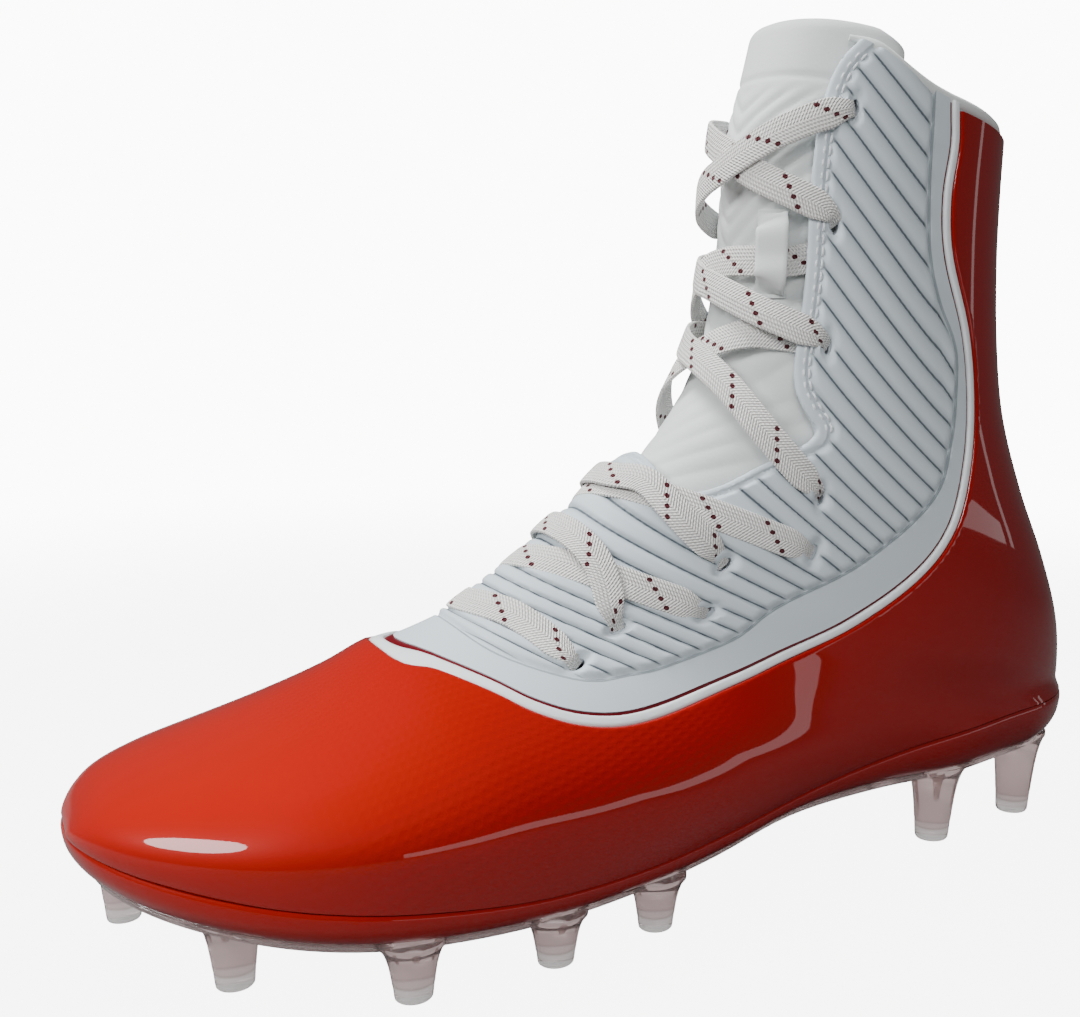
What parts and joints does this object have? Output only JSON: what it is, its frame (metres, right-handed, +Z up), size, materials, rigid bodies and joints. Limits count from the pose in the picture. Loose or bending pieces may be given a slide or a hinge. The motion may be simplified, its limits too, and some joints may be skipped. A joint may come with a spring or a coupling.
{
  "type": "football cleat",
  "caption": "High-cut studded football shoe for the left foot, with a ribbed upper, a glossy red overlay and flat laces.",
  "frame": {"origin": "middle of the shoe's bounding box, on the ground plane that the studs stand on", "axes": "+Z up, +Y from the toe to the heel, +X towards the outer side of the left foot"},
  "size_m": [0.1009, 0.294, 0.2288],
  "materials": {
    "ribbed_upper_skin": "satin, moulded ribs",
    "patent_overlay": "high gloss, fine dots",
    "patent_sole": "high gloss",
    "clear_plate": "translucent, smoky",
    "insole_foam": "matt",
    "tongue_padding": "soft, matt",
    "lace_weave": "woven, flat"
  },
  "bodies": {
    "root": {"upper": "ribbed_upper_skin", "overlay": "patent_overlay", "midsole": "patent_sole", "outsole": "clear_plate", "insole": "insole_foam", "tongue": "tongue_padding", "lace_bar": "lace_weave", "lace_crossing_1": "lace_weave", "lace_crossing_2": "lace_weave", "lace_crossing_3": "lace_weave", "lace_crossing_4": "lace_weave", "lace_crossing_5": "lace_weave", "lace_keeper": "lace_weave"}
  },
  "joints": []
}
